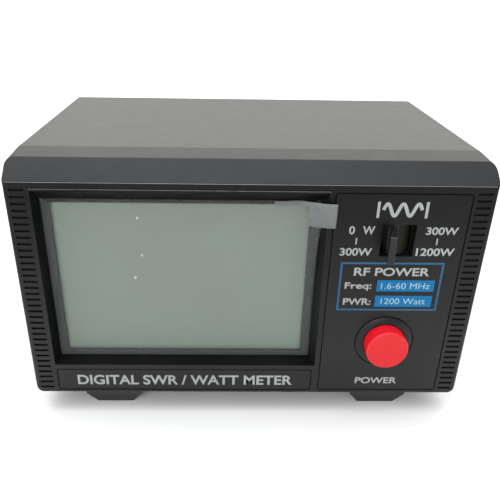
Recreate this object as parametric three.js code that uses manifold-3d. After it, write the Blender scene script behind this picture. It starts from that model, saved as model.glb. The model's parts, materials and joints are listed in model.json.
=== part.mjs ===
// A desk SWR and power meter: moulded front bezel, folded steel case, liquid-crystal display,
// lever range switch, round power button, and a two-socket directional coupler at the rear.
// Millimetres. X runs right, Y runs back from the front face, Z runs up.
import * as THREE from "three";
import { mergeVertices } from "three/addons/utils/BufferGeometryUtils.js";
import Module from "manifold-3d";

const wasm = await Module();
wasm.setup();

// ---- Driving dimensions -------------------------------------------------------------------

const GAP = 0.3; // clearance between touching pieces
const CASE_W = 156; // outside width of the cover
const FACE_W = 155; // width of the front face, which the draft widens to CASE_W
const CASE_H = 87.2; // case height without its feet
const CASE_D = 104; // front face to the cover's rear edge
const FOOT_H = 9.6;
const SHEET = 1; // steel sheet thickness
const HALF = CASE_W / 2;

// Front bezel
const BEZEL_D = 19; // front face to the seam
const RIDGE_Z = 81.2; // front top edge
const BROW_Y = 7.1; // where the sloping brow meets the flat top
const FACE_T = 3; // thickness of the front wall
const WALL_T = 2.5;
const TONGUE = 4; // length of the rebated lip inside the cover
const TONGUE_IN = SHEET + GAP;
const CORNER_R = 1.2; // upright front corners, seen from above
const TOP_R = 3.2; // upper corners of the front face, seen from the front
const LOW_R = 3.4; // its lower corners
const RIDGE_R = 0.7;
const BROW_R = 1;
const UNDER_R = 0.4; // lower front edge
const BEND_R = 1.2; // the cover's bends

// Ribbed columns on both sides of the face
const RIBS = 34;
const RIB_PITCH = 2.31;
const RIB_LOW = 2.4;
const RIB_W = 0.85;
const RIB_DEPTH = 0.8;
const RIB_X = [70.9, 75.6];

// Inlaid plates, as [x0, x1, z0, z1]
const PANEL = [26, 69.8, 1.3, 78.7];
const PANEL_T = 1;
const STRIP = [-69.1, 23.5, 1.1, 10.4];
const STRIP_T = 0.8;
const INLAY_R = 0.9;
const GROOVE = 0.35; // gap round an inlaid plate

// Display stack, from the front
const LIP = [-69, 24, 12.8, 78];
const LIP_BEAD = 0.5; // how far the rim stands proud of the face
const LIP_BEAD_W = 1;
const RECESS = 4; // depth of the display recess
const FRAME_OPEN = [-67.9, 22.4, 13.9, 74.7];
const VIEW = [-65, 19.2, 15.8, 73.05];
const STACK_EDGE = 2.6; // how far the display parts run on behind the recess
const FRAME_T = 1.2;
const GLASS_T = 2.8;
const LIGHT_T = 4;
const FILM_T = 0.25;
const BOARD_T = 1.6;
const CURL_LENGTH = 6; // how far left of the display's edge the film starts to lift
const TAB_X = 26.6; // free end of the film's pull tab
const TAB_LIFT = 3; // how far that end stands out from the face
const TAB_Z = [67.5, 76];

// Range switch
const RANGE_X = 47.7;
const RANGE_Z = 62.35;
const WINDOW = [42.2, 53.2, 56.7, 68];
const DRUM_R = 5.4;
const PIVOT_Y = 6.6;
const LEVER_REACH = 15.1;
const LEVER_T = 2.3;
const LEVER_H = 9.4;
const LEVER_R = 0.5; // corner radius of its tip
const RANGE_TILT = 15; // degrees to each side of straight ahead
const PIN_R = 1;
const SWITCH_HALF_X = 7.2;
const EAR = 2.7; // thickness of the ears above and below the drum

// Power button
const BUTTON_X = 48.1;
const BUTTON_Z = 23;
const BUTTON_R = 7.3;
const BUTTON_OUT = 5.9;
const BUTTON_WALL = 1.6;
const COLLAR_R = 10.4; // hole in the control panel round the button's collar
const COLLAR_OUT = 0.9; // how far the collar rises towards the button
const STEM = 3; // side of the square plunger
const BUTTON_CENTRE = [BUTTON_X, 0, BUTTON_Z];

// Rear sockets and coupler
const SOCKET_X = 25;
const SOCKET_Z = 48;
const FLANGE = 25.4;
const FLANGE_T = 2;
const BARREL_R = 7.95;
const BARREL_L = 15;
const BOSS_R = 6; // round boss behind a socket's flange
const SCREW_PITCH = 18.2;
const REAR_Y = 102.7; // outer face of the rear wall
const SOCKET_END = REAR_Y + GAP + BARREL_L + FLANGE_T;
const BOX_Y = [72, REAR_Y - SHEET - GAP];
const BOX_HALF_X = 44;
const BOX_HALF_Z = 15;
const BOX_T = 0.8;
const LINE_Y = 86;
const LINE_R = 1.6;
const TOROID_R = 7.5;
const TOROID_T = 7;
const JACK_CENTRE = [58, 0, 18];
const JACK_R = 4; // threaded neck
const JACK_BODY_R = 5.5;
const JACK_BODY_L = 12;
const JACK_BORE_R = 2.8;
const JACK_BORE_L = 10;
const JACK_PIN_R = 1.05;
const JACK_OUT = 4.5;
const NUT_R = 6.3; // centre to corner
const NUT_T = 2.2;

// Feet and fasteners
const FOOT_X = 50.4;
const FOOT_YS = { front: 13, rear: 88 };
const SCREW_R = 1.5;
const HOLE_R = SCREW_R + GAP;
const HEAD_R = 2.8;
const HEAD_H = 1.6;
const SHORT_SCREW = 6; // shank lengths
const SOCKET_SCREW = 7;
const FOOT_SCREW = 10;
const BEZEL_SCREW_X = FOOT_X + 15;
const BEZEL_SCREW_Y = BEZEL_D + 2;
const COVER_SCREW_Y = [34, 88];
const COVER_SCREW_Z = 5.6;

// Segments of round pieces
const FINE = 40;
const SMOOTH = 24;
const ROUND = 16;
const HOLE_ROUND = 12;

// The foremost point is the rounded outer corner of the tilted lever.
const TILT = THREE.MathUtils.degToRad(RANGE_TILT);
const cornerAhead = (LEVER_REACH - LEVER_R) * Math.cos(TILT) + (LEVER_T / 2 - LEVER_R) * Math.sin(TILT);
const FRONT_MOST = PIVOT_Y - cornerAhead - LEVER_R;

// ---- Shape helpers ------------------------------------------------------------------------

// A closed geometry as a solid that can be joined and cut.
function toSolid(geometry) {
  const bare = geometry.index ? geometry.clone() : geometry;
  bare.deleteAttribute("normal");
  bare.deleteAttribute("uv");
  const merged = mergeVertices(bare, 1e-4);
  const index = Array.from(merged.index.array);
  const kept = [];
  for (let i = 0; i < index.length; i += 3) {
    const [a, b, c] = index.slice(i, i + 3);
    if (a !== b && b !== c && c !== a) kept.push(a, b, c);
  }
  const mesh = new wasm.Mesh({
    numProp: 3,
    vertProperties: new Float32Array(merged.attributes.position.array),
    triVerts: new Uint32Array(kept),
  });
  return new wasm.Manifold(mesh);
}

function toGeometry(solid) {
  const mesh = solid.getMesh();
  const geometry = new THREE.BufferGeometry();
  geometry.setAttribute("position", new THREE.BufferAttribute(mesh.vertProperties, 3));
  geometry.setIndex(new THREE.BufferAttribute(mesh.triVerts, 1));
  return geometry;
}

// A block between two limits on each axis.
function block([x0, x1], [y0, y1], [z0, z1]) {
  const geometry = new THREE.BoxGeometry(x1 - x0, y1 - y0, z1 - z0);
  geometry.translate((x0 + x1) / 2, (y0 + y1) / 2, (z0 + z1) / 2);
  return toSolid(geometry);
}

const X = new THREE.Vector3(1, 0, 0);
const Y = new THREE.Vector3(0, 1, 0);
const Z = new THREE.Vector3(0, 0, 1);

// An outline drawn in one plane and pushed along the third axis from a to b.
function extrude(shape, a, b, axis) {
  const bases = {
    x: new THREE.Matrix4().makeBasis(Y, Z, X),
    y: new THREE.Matrix4().makeBasis(X, Z, Y.clone().negate()),
    z: new THREE.Matrix4().makeBasis(X, Y, Z),
  };
  const geometry = new THREE.ExtrudeGeometry(shape, { depth: b - a, bevelEnabled: false, curveSegments: 4 });
  geometry.translate(0, 0, axis === "y" ? -b : a);
  geometry.applyMatrix4(bases[axis]);
  return toSolid(geometry);
}

// An outline through [u, v, radius] corners, each rounded by its own radius.
function filleted(corners) {
  const points = corners.map(([u, v]) => new THREE.Vector2(u, v));
  const shape = new THREE.Shape();
  corners.forEach(([u, v, radius], i) => {
    const toBefore = points.at(i - 1).clone().sub(points[i]).normalize();
    const toAfter = points[(i + 1) % points.length].clone().sub(points[i]).normalize();
    const turn = Math.PI - toBefore.angleTo(toAfter);
    const reach = radius * Math.tan(turn / 2);
    const handle = reach - (4 / 3) * radius * Math.tan(turn / 4);
    const start = points[i].clone().addScaledVector(toBefore, reach);
    const end = points[i].clone().addScaledVector(toAfter, reach);
    if (i === 0) shape.moveTo(start.x, start.y);
    else shape.lineTo(start.x, start.y);
    if (radius === 0) return;
    const first = points[i].clone().addScaledVector(toBefore, handle);
    const second = points[i].clone().addScaledVector(toAfter, handle);
    shape.bezierCurveTo(first.x, first.y, second.x, second.y, end.x, end.y);
  });
  return shape;
}

// A rectangle whose lower and upper corners may have different radii, as an outline.
function roundedRect([u0, u1, v0, v1], low, high = low) {
  return filleted([[u0, v0, low], [u1, v0, low], [u1, v1, high], [u0, v1, high]]);
}

function polygon(points) {
  return new THREE.Shape(points.map(([u, v]) => new THREE.Vector2(u, v)));
}

// A profile of [radius, height] pairs turned about an axis through (u, v) of the other two.
function turned(points, axis, at, segments = ROUND) {
  const profile = points.map(([r, h]) => new THREE.Vector2(r, h));
  const geometry = new THREE.LatheGeometry(profile, segments);
  if (axis === "z") geometry.rotateX(Math.PI / 2);
  if (axis === "x") geometry.rotateZ(-Math.PI / 2);
  geometry.translate(...at);
  return toSolid(geometry);
}

function rod(radius, [a, b], axis, at, segments = ROUND) {
  return turned([[0, a], [radius, a], [radius, b], [0, b]], axis, at, segments);
}

function tube(inner, outer, [a, b], axis, at, segments = ROUND) {
  return turned([[inner, a], [outer, a], [outer, b], [inner, b], [inner, a]], axis, at, segments);
}

// A closed solid through rings of [x, y, z] points, each ring anticlockwise seen from the last one.
function loft(rings) {
  const size = rings[0].length;
  const last = size * (rings.length - 1);
  const index = [];
  for (let i = 1; i < size - 1; i++) index.push(0, i + 1, i, last, last + i, last + i + 1);
  for (let ring = 0; ring < last; ring += size) {
    for (let i = 0; i < size; i++) {
      const near = ring + i;
      const next = ring + ((i + 1) % size);
      index.push(near, next, next + size, near, next + size, near + size);
    }
  }
  const geometry = new THREE.BufferGeometry();
  geometry.setAttribute("position", new THREE.Float32BufferAttribute(rings.flat(2), 3));
  geometry.setIndex(index);
  return toSolid(geometry);
}

const grow = ([u0, u1, v0, v1], d) => [u0 - d, u1 + d, v0 - d, v1 + d];
const spanX = (r) => [r[0], r[1]];
const spanZ = (r) => [r[2], r[3]];

// ---- Scene --------------------------------------------------------------------------------

const meter = new THREE.Group();
const middleY = (FRONT_MOST + SOCKET_END) / 2;
meter.position.set(0, -middleY, FOOT_H);

function finish(color, roughness, metalness) {
  return { color, roughness, metalness };
}

const BLACK_PLASTIC = finish(0x2c2c2c, 0.5, 0);
const CASE_PAINT = finish(0x3a3a38, 0.45, 0.3);
const BOARD_GREEN = finish(0x1f5a34, 0.5, 0);
const STEEL = finish(0xb8b8b4, 0.35, 1);
const NICKEL = finish(0xc9c7c0, 0.25, 1);
const BRASS = finish(0xc8a24a, 0.3, 1);
const BLACK_STEEL = finish(0x1c1c1c, 0.4, 0.8);
const RUBBER = finish(0x181818, 0.8, 0);

function add(name, solid, look, group = meter) {
  const mesh = new THREE.Mesh(toGeometry(solid), new THREE.MeshStandardMaterial(look));
  mesh.name = name;
  group.add(mesh);
}

// ---- Front bezel --------------------------------------------------------------------------

// A front view whose rounded corners tighten towards the seam, cut by the side profile and the plan.
function bezelOutside() {
  const face = FACE_W / 2;
  const section = (half, low, high, y) => {
    const outline = roundedRect([-half, half, 0, CASE_H], low, high);
    return outline.getPoints(5).slice(0, -1).map((p) => [p.x, y, p.y]);
  };
  const body = loft([section(HALF, BEND_R, BEND_R, BEZEL_D), section(face, LOW_R, TOP_R, 0)]);
  const side = filleted([
    [0, 0, UNDER_R],
    [BEZEL_D, 0, 0],
    [BEZEL_D, CASE_H, 0],
    [BROW_Y, CASE_H, BROW_R],
    [0, RIDGE_Z, RIDGE_R],
  ]);
  const plan = filleted([
    [-face, 0, CORNER_R],
    [face, 0, CORNER_R],
    [HALF, BEZEL_D, 0],
    [-HALF, BEZEL_D, 0],
  ]);
  return body.intersect(extrude(side, -HALF, HALF, "x")).intersect(extrude(plan, 0, CASE_H, "z"));
}

// The inside runs parallel to the outside, below the brow.
function bezelCavity() {
  const back = BEZEL_D + TONGUE + 1;
  const inner = HALF - TONGUE_IN - WALL_T;
  const ceiling = CASE_H - WALL_T - TONGUE_IN;
  const floor = WALL_T + GAP;
  const profile = polygon([
    [FACE_T, floor],
    [FACE_T, RIDGE_Z - FACE_T / 2],
    [BROW_Y + 1, ceiling],
    [back, ceiling],
    [back, floor],
  ]);
  return extrude(profile, -inner, inner, "x");
}

// A four-sided funnel between the lip at the face and the opening at the back of the recess.
function recessFunnel() {
  const slope = 1 + LIP_BEAD / RECESS;
  const near = LIP.map((v, i) => FRAME_OPEN[i] + (v - FRAME_OPEN[i]) * slope);
  const ring = ([x0, x1, z0, z1], y) => [[x0, y, z0], [x1, y, z0], [x1, y, z1], [x0, y, z1]];
  return loft([ring(FRAME_OPEN, RECESS), ring(near, -LIP_BEAD)]);
}

function frontBezel() {
  const tongueZ = [TONGUE_IN, CASE_H - TONGUE_IN];
  const tongueX = [-HALF + TONGUE_IN, HALF - TONGUE_IN];
  let body = bezelOutside().add(block(tongueX, [BEZEL_D - 1, BEZEL_D + TONGUE], tongueZ));
  body = body.subtract(bezelCavity());
  const backing = grow(FRAME_OPEN, STACK_EDGE);
  body = body.add(block(spanX(backing), [FACE_T - 1, RECESS], spanZ(backing)));
  const bead = extrude(roundedRect(grow(LIP, LIP_BEAD_W), 1), -LIP_BEAD, 1, "y");
  body = body.add(bead).subtract(recessFunnel());
  body = body.subtract(extrude(roundedRect(PANEL, INLAY_R), -1, PANEL_T, "y"));
  body = body.subtract(extrude(roundedRect(STRIP, INLAY_R), -1, STRIP_T, "y"));
  for (const side of [-1, 1]) {
    const ribX = RIB_X.map((x) => x * side).sort((a, b) => a - b);
    for (let i = 0; i < RIBS; i++) {
      const z = RIB_LOW + i * RIB_PITCH;
      body = body.subtract(block(ribX, [-1, RIB_DEPTH], [z - RIB_W / 2, z + RIB_W / 2]));
    }
  }
  body = body.subtract(block(spanX(WINDOW), [-1, FACE_T + 1], spanZ(WINDOW)));
  const buttonHole = BUTTON_R + GAP;
  const collarEdge = COLLAR_R - GROOVE;
  const collar = [[0, -COLLAR_OUT], [buttonHole + 1, -COLLAR_OUT], [collarEdge, 0]];
  collar.push([collarEdge, FACE_T], [0, FACE_T]);
  body = body.add(turned(collar, "y", BUTTON_CENTRE, FINE));
  body = body.subtract(rod(buttonHole, [-CASE_D, FACE_T + 1], "y", BUTTON_CENTRE, FINE));
  for (const x of [-FOOT_X, FOOT_X]) {
    body = body.subtract(rod(HOLE_R, [-1, WALL_T + 1], "z", [x, FOOT_YS.front, 0], HOLE_ROUND));
    const screwAt = [Math.sign(x) * BEZEL_SCREW_X, BEZEL_SCREW_Y, 0];
    body = body.subtract(rod(HOLE_R, [0, WALL_T + 1], "z", screwAt, HOLE_ROUND));
  }
  return body;
}
add("front_bezel", frontBezel(), BLACK_PLASTIC);

// ---- Inlaid plates ------------------------------------------------------------------------

function controlPanel() {
  const through = [-1, PANEL_T + 1];
  const outline = roundedRect(grow(PANEL, -GROOVE), INLAY_R - GROOVE);
  const plate = extrude(outline, 0, PANEL_T - GAP, "y");
  return plate
    .subtract(block(spanX(WINDOW), through, spanZ(WINDOW)))
    .subtract(rod(COLLAR_R, through, "y", BUTTON_CENTRE, FINE));
}
add("control_panel", controlPanel(), BLACK_PLASTIC);

const stripOutline = roundedRect(grow(STRIP, -GROOVE), INLAY_R - GROOVE);
add("title_strip", extrude(stripOutline, 0, STRIP_T - GAP, "y"), BLACK_PLASTIC);

// ---- Display stack ------------------------------------------------------------------------

const stack = grow(FRAME_OPEN, STACK_EDGE);
const frameY = RECESS + GAP;
const glassY = frameY + FRAME_T + GAP;
const lightY = glassY + GLASS_T + GAP;
const frontBoardY = lightY + LIGHT_T + 3 * GAP;

const frameSolid = block(spanX(stack), [frameY, frameY + FRAME_T], spanZ(stack));
const viewHole = block(spanX(VIEW), [0, BEZEL_D], spanZ(VIEW));
add("lcd_frame", frameSolid.subtract(viewHole), finish(0x4b5052, 0.5, 0));

const inner = grow(stack, -1);
const glass = block(spanX(inner), [glassY, glassY + GLASS_T], spanZ(inner));
add("lcd_glass", glass, finish(0x8d998c, 0.15, 0));
const lightGuide = block(spanX(inner), [lightY, lightY + LIGHT_T], spanZ(inner));
add("lcd_backlight", lightGuide, finish(0xd8dcd4, 0.4, 0));

// A thin sheet over the display, with a pull tab at its top right that curls forward over the rim.
function screenFilm() {
  const [x0, x1, z0, z1] = grow(FRAME_OPEN, -0.5);
  const front = RECESS - FILM_T;
  const root = VIEW[1] - CURL_LENGTH;
  const rim = LIP[1] - 1;
  const curl = new THREE.Shape();
  curl.moveTo(root, front);
  curl.bezierCurveTo(root + CURL_LENGTH / 2, front, VIEW[1], FILM_T, rim, -TAB_LIFT / 2);
  curl.lineTo(TAB_X, -TAB_LIFT);
  curl.lineTo(TAB_X + FILM_T / 3, -TAB_LIFT + FILM_T);
  curl.lineTo(rim + FILM_T / 3, -TAB_LIFT / 2 + FILM_T);
  curl.bezierCurveTo(VIEW[1] + FILM_T / 2, 2 * FILM_T, root + CURL_LENGTH / 2, RECESS, root, RECESS);
  // The tab is taller than the sheet only where it has left the recess.
  const inRecess = block([root - 1, TAB_X + 1], [LIP_BEAD, RECESS + 1], [z1, TAB_Z[1] + 1]);
  const tab = extrude(curl, ...TAB_Z, "z").subtract(inRecess);
  return block([x0, x1], [front, RECESS], [z0, z1]).add(tab);
}
add("screen_film", screenFilm(), finish(0x9aa09c, 0.2, 0));

const frontBoard = block([-71, 70], [frontBoardY, frontBoardY + BOARD_T], [8, 80]);
add("display_board", frontBoard, BOARD_GREEN);

// ---- Steel case ---------------------------------------------------------------------------

// An upside-down U of sheet steel with rounded bends.
function topCover() {
  const seam = BEZEL_D + GAP;
  const outer = roundedRect([-HALF, HALF, 0, CASE_H], BEND_R);
  const hollow = roundedRect([-HALF + SHEET, HALF - SHEET, -CASE_H, CASE_H - SHEET], BEND_R - SHEET);
  let cover = extrude(outer, seam, CASE_D, "y");
  cover = cover.add(block([-HALF, -HALF + SHEET + 1], [seam, CASE_D], [0, BEND_R + 1]));
  cover = cover.add(block([HALF - SHEET - 1, HALF], [seam, CASE_D], [0, BEND_R + 1]));
  cover = cover.subtract(extrude(hollow, seam - 1, CASE_D + 1, "y"));
  for (const y of COVER_SCREW_Y) {
    cover = cover.subtract(rod(HOLE_R, [-CASE_W, CASE_W], "x", [0, y, COVER_SCREW_Z], HOLE_ROUND));
  }
  return cover;
}
add("top_cover", topCover(), CASE_PAINT);

const trayHalf = HALF - SHEET - GAP;
const SIDE_FLANGE_H = 10;
const TRAY_FOLD = 0.6; // cut corner of the fold below the rear wall
const half = SCREW_PITCH / 2;
const flangeCorners = [[-half, -half], [half, -half], [half, half], [-half, half]];

// The tray: floor, two low side flanges and the full-height rear wall, bent from one sheet.
function bottomChassis() {
  const rearIn = REAR_Y - SHEET;
  const seam = BEZEL_D + GAP;
  const bent = polygon([
    [seam, 0],
    [REAR_Y - TRAY_FOLD, 0],
    [REAR_Y, TRAY_FOLD],
    [REAR_Y, CASE_H - TONGUE_IN],
    [rearIn, CASE_H - TONGUE_IN],
    [rearIn, SHEET],
    [seam, SHEET],
  ]);
  let tray = extrude(bent, -trayHalf, trayHalf, "x");
  for (const side of [-1, 1]) {
    const flangeX = [side * trayHalf, side * (trayHalf - SHEET)].sort((a, b) => a - b);
    tray = tray.add(block(flangeX, [BEZEL_D + TONGUE + 2, rearIn - 2], [0, SIDE_FLANGE_H]));
    for (const at of [[side * FOOT_X, FOOT_YS.rear, 0], [side * BEZEL_SCREW_X, BEZEL_SCREW_Y, 0]]) {
      tray = tray.subtract(rod(HOLE_R, [-1, SHEET + 1], "z", at, HOLE_ROUND));
    }
    const bossHole = rod(BOSS_R + GAP, [rearIn - 1, REAR_Y + 1], "y", [side * SOCKET_X, 0, SOCKET_Z], SMOOTH);
    tray = tray.subtract(bossHole);
    for (const [dx, dz] of flangeCorners) {
      const at = [side * SOCKET_X + dx, 0, SOCKET_Z + dz];
      tray = tray.subtract(rod(HOLE_R, [rearIn - 1, REAR_Y + 1], "y", at, HOLE_ROUND));
    }
  }
  for (const y of COVER_SCREW_Y) {
    tray = tray.subtract(rod(HOLE_R, [-CASE_W, CASE_W], "x", [0, y, COVER_SCREW_Z], HOLE_ROUND));
  }
  return tray.subtract(rod(JACK_R + GAP, [rearIn - 1, REAR_Y + 1], "y", JACK_CENTRE));
}

add("bottom_chassis", bottomChassis(), CASE_PAINT);

// A pan-head screw along +axis, its head's seat at zero and its head on the negative side.
function screw(length, axis, at, flip = 1) {
  const profile = [
    [0, -HEAD_H],
    [HEAD_R * 0.6, -HEAD_H],
    [HEAD_R, -HEAD_H / 2],
    [HEAD_R, 0],
    [SCREW_R, 0],
    [SCREW_R, length],
    [0, length],
  ].map(([r, h]) => [r, h * flip]);
  if (flip < 0) profile.reverse();
  return turned(profile, axis, at, HOLE_ROUND);
}

for (const side of [-1, 1]) {
  const word = side < 0 ? "left" : "right";
  COVER_SCREW_Y.forEach((y, i) => {
    const end = i === 0 ? "front" : "rear";
    const at = [side * (HALF + GAP), y, COVER_SCREW_Z];
    add(`cover_screw_${word}_${end}`, screw(SHORT_SCREW, "x", at, -side), BLACK_STEEL);
  });
  const bezelAt = [side * BEZEL_SCREW_X, BEZEL_SCREW_Y, -GAP];
  add(`bezel_screw_${word}`, screw(SHORT_SCREW, "z", bezelAt), BLACK_STEEL);
}

// ---- Feet ---------------------------------------------------------------------------------

const FOOT_TOP = [10.5, 8]; // half-sizes in X and Y
const FOOT_BOTTOM = [6.8, 6.6];
const FOOT_UPRIGHT = 4.6; // height of its upright sides, above the taper
const FOOT_WELL = 4;

// A tapered block with a counterbored screw hole.
function foot(x, y) {
  const ring = ([halfX, halfY], z) => [
    [x - halfX, y - halfY, z],
    [x + halfX, y - halfY, z],
    [x + halfX, y + halfY, z],
    [x - halfX, y + halfY, z],
  ];
  const shoulder = ring(FOOT_TOP, -GAP - FOOT_UPRIGHT);
  return loft([ring(FOOT_BOTTOM, -FOOT_H), shoulder, ring(FOOT_TOP, -GAP)])
    .subtract(rod(HOLE_R, [-FOOT_H - 1, 1], "z", [x, y, 0], HOLE_ROUND))
    .subtract(rod(HEAD_R + GAP, [-FOOT_H - 1, -FOOT_H + FOOT_WELL], "z", [x, y, 0], HOLE_ROUND));
}

for (const [end, y] of Object.entries(FOOT_YS)) {
  for (const side of [-1, 1]) {
    const word = side < 0 ? "left" : "right";
    add(`foot_${end}_${word}`, foot(side * FOOT_X, y), RUBBER);
    const seat = [side * FOOT_X, y, -FOOT_H + FOOT_WELL - GAP];
    add(`foot_screw_${end}_${word}`, screw(FOOT_SCREW, "z", seat), BLACK_STEEL);
  }
}

// ---- Range switch -------------------------------------------------------------------------

const rangeGroup = new THREE.Group();
rangeGroup.position.set(RANGE_X, PIVOT_Y, RANGE_Z);
rangeGroup.rotation.z = -TILT;
meter.add(rangeGroup);

// The blade and its drum are one moulding that swings on the upright pin. The drum is cut away at
// the front left.
function rangeLever() {
  const drumHalf = (WINDOW[3] - WINDOW[2]) / 2 - GAP;
  const lever = new THREE.Shape();
  const tipX = LEVER_T / 2 - LEVER_R;
  const tipY = LEVER_R - LEVER_REACH;
  lever.moveTo(-LEVER_T / 2, 0);
  lever.absarc(-tipX, tipY, LEVER_R, Math.PI, 1.5 * Math.PI);
  lever.absarc(tipX, tipY, LEVER_R, -Math.PI / 2, 0);
  lever.lineTo(LEVER_T / 2, 0);
  const blade = extrude(lever, -LEVER_H / 2, LEVER_H / 2, "z");
  const beyond = DRUM_R + 1;
  const pocket = block([-beyond, -LEVER_T / 2 - GAP], [-beyond, -2 * PIN_R], [-2 * DRUM_R, 2 * DRUM_R]);
  const drum = rod(DRUM_R, [-drumHalf, drumHalf], "z", [0, 0, 0], FINE).subtract(pocket);
  const pinHole = rod(PIN_R + GAP, [-DRUM_R * 2, DRUM_R * 2], "z", [0, 0, 0]);
  return drum.add(blade).subtract(pinHole);
}
add("range_lever", rangeLever(), BLACK_PLASTIC, rangeGroup);

// The switch body: two ears that hold the pin above and below the drum, and a back.
function rangeSwitchBody() {
  const bodyX = [RANGE_X - SWITCH_HALF_X, RANGE_X + SWITCH_HALF_X];
  const body = block(bodyX, [FACE_T + 2, frontBoardY - GAP], [WINDOW[2] - EAR, WINDOW[3] + EAR]);
  const room = rod(DRUM_R + GAP, [WINDOW[2] - GAP, WINDOW[3]], "z", [RANGE_X, PIVOT_Y, 0], FINE);
  const mouthHalf = DRUM_R + GAP;
  const mouth = block([RANGE_X - mouthHalf, RANGE_X + mouthHalf], [0, PIVOT_Y], [WINDOW[2] - GAP, WINDOW[3]]);
  const pinHole = rod(PIN_R + GAP, [0, CASE_H], "z", [RANGE_X, PIVOT_Y, 0]);
  return body.subtract(room).subtract(mouth).subtract(pinHole);
}
add("range_switch_body", rangeSwitchBody(), finish(0x35322c, 0.6, 0));
const pinSpan = [WINDOW[2] - EAR, WINDOW[3] + EAR];
add("range_pivot_pin", rod(PIN_R, pinSpan, "z", [RANGE_X, PIVOT_Y, 0]), STEEL);

// ---- Power button -------------------------------------------------------------------------

const CAP_EDGE = 0.8; // rounding of the cap's rim
const SOCKET_WALL_R = 3.6; // boss inside the cap that holds the plunger
const SPRING_R = 4.6;
const SPRING_WIRE = 0.35;
const SPRING_TURNS = 6;
const SWITCH_HALF = 6;
const capRear = FACE_T;
const capCeiling = -BUTTON_OUT + BUTTON_WALL;
const switchFront = FACE_T + 6.2;

// A hollow cap with a crowned rim and a square socket for the plunger.
function buttonCap() {
  const profile = [
    [0, -BUTTON_OUT],
    [BUTTON_R - CAP_EDGE, -BUTTON_OUT],
    [BUTTON_R - CAP_EDGE * 0.3, -BUTTON_OUT + CAP_EDGE * 0.3],
    [BUTTON_R, -BUTTON_OUT + CAP_EDGE],
    [BUTTON_R, capRear],
    [BUTTON_R - BUTTON_WALL, capRear],
    [BUTTON_R - BUTTON_WALL, capCeiling],
    [SOCKET_WALL_R, capCeiling],
    [SOCKET_WALL_R, 1],
    [0, 1],
  ];
  const cap = turned(profile, "y", BUTTON_CENTRE, FINE);
  const socket = STEM / 2 + GAP;
  const socketX = [BUTTON_X - socket, BUTTON_X + socket];
  return cap.subtract(block(socketX, [capCeiling, 2], [BUTTON_Z - socket, BUTTON_Z + socket]));
}
add("power_button_cap", buttonCap(), finish(0xe0262f, 0.4, 0));

const stemX = [BUTTON_X - STEM / 2, BUTTON_X + STEM / 2];
const stemZ = [BUTTON_Z - STEM / 2, BUTTON_Z + STEM / 2];
const stemSpan = [capCeiling + GAP, switchFront + 0.5];
add("power_plunger", block(stemX, stemSpan, stemZ), finish(0xe6e4da, 0.5, 0));

// The latching switch behind the cap, with a square well that the plunger slides into.
function powerSwitchBody() {
  const column = (reach, span) => {
    return block([BUTTON_X - reach, BUTTON_X + reach], span, [BUTTON_Z - reach, BUTTON_Z + reach]);
  };
  const body = column(SWITCH_HALF, [switchFront, frontBoardY - GAP]);
  return body.subtract(column(STEM / 2 + GAP, [0, frontBoardY - 3 * GAP]));
}
add("power_switch_body", powerSwitchBody(), finish(0x2a2a2e, 0.5, 0));

class Helix extends THREE.Curve {
  getPoint(t) {
    const angle = t * SPRING_TURNS * 2 * Math.PI;
    const reach = capCeiling + GAP + SPRING_WIRE;
    const length = switchFront - GAP - SPRING_WIRE - reach;
    return new THREE.Vector3(
      BUTTON_X + SPRING_R * Math.cos(angle),
      reach + t * length,
      BUTTON_Z + SPRING_R * Math.sin(angle),
    );
  }
}

function buttonSpring() {
  const wire = new THREE.Shape().absarc(0, 0, SPRING_WIRE, 0, 2 * Math.PI);
  const options = { steps: SPRING_TURNS * 12, curveSegments: 3, extrudePath: new Helix() };
  return toSolid(new THREE.ExtrudeGeometry(wire, options));
}
add("button_spring", buttonSpring(), STEEL);

// ---- Main board ---------------------------------------------------------------------------

const BOARD_Z = 7;
const BOARD_X = [-62, 62];
const BOARD_Y = [30, 92];
const POST_INSET = 5;
const POST_R = 3;
const POST_NECK_R = 1.3;
const POST_TIP_R = 0.8;

const postSpots = [];
for (const y of [BOARD_Y[0] + POST_INSET, BOARD_Y[1] - POST_INSET]) {
  for (const x of [BOARD_X[0] + POST_INSET, BOARD_X[1] - POST_INSET]) postSpots.push([x, y]);
}

function mainBoard() {
  let board = block(BOARD_X, BOARD_Y, [BOARD_Z, BOARD_Z + BOARD_T]);
  for (const [x, y] of postSpots) {
    board = board.subtract(rod(POST_NECK_R + GAP, [0, CASE_H], "z", [x, y, 0], HOLE_ROUND));
  }
  return board;
}
add("main_board", mainBoard(), BOARD_GREEN);

// Nylon posts whose barbed tips hold the board.

postSpots.forEach(([x, y], i) => {
  const top = BOARD_Z - GAP;
  const clip = BOARD_Z + BOARD_T + GAP;
  const profile = [
    [0, SHEET + GAP],
    [POST_R, SHEET + GAP],
    [POST_R, top],
    [POST_NECK_R, top],
    [POST_NECK_R, clip],
    [POST_NECK_R + 2 * GAP, clip],
    [POST_TIP_R, clip + POST_TIP_R * 2.5],
    [0, clip + POST_TIP_R * 2.5],
  ];
  add(`board_post_${i + 1}`, turned(profile, "z", [x, y, 0], HOLE_ROUND), finish(0xeae6d8, 0.6, 0));
});

const partsZ = BOARD_Z + BOARD_T + GAP;
const CHIP_T = 1.5;
const CAPACITOR_R = 5;
const CAPACITOR_H = 14;
add("microcontroller", block([-20, -8], [48, 60], [partsZ, partsZ + CHIP_T]), finish(0x151515, 0.5, 0));
const canSpan = [partsZ, partsZ + CAPACITOR_H];
add("smoothing_capacitor", rod(CAPACITOR_R, canSpan, "z", [38, 46, 0]), finish(0x20242c, 0.4, 0));

const RIBBON_X = [-30, -10];
const RIBBON_T = 0.9;
const RIBBON_Z = 20; // height of its level run
const RIBBON_BEND = 4;

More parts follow.
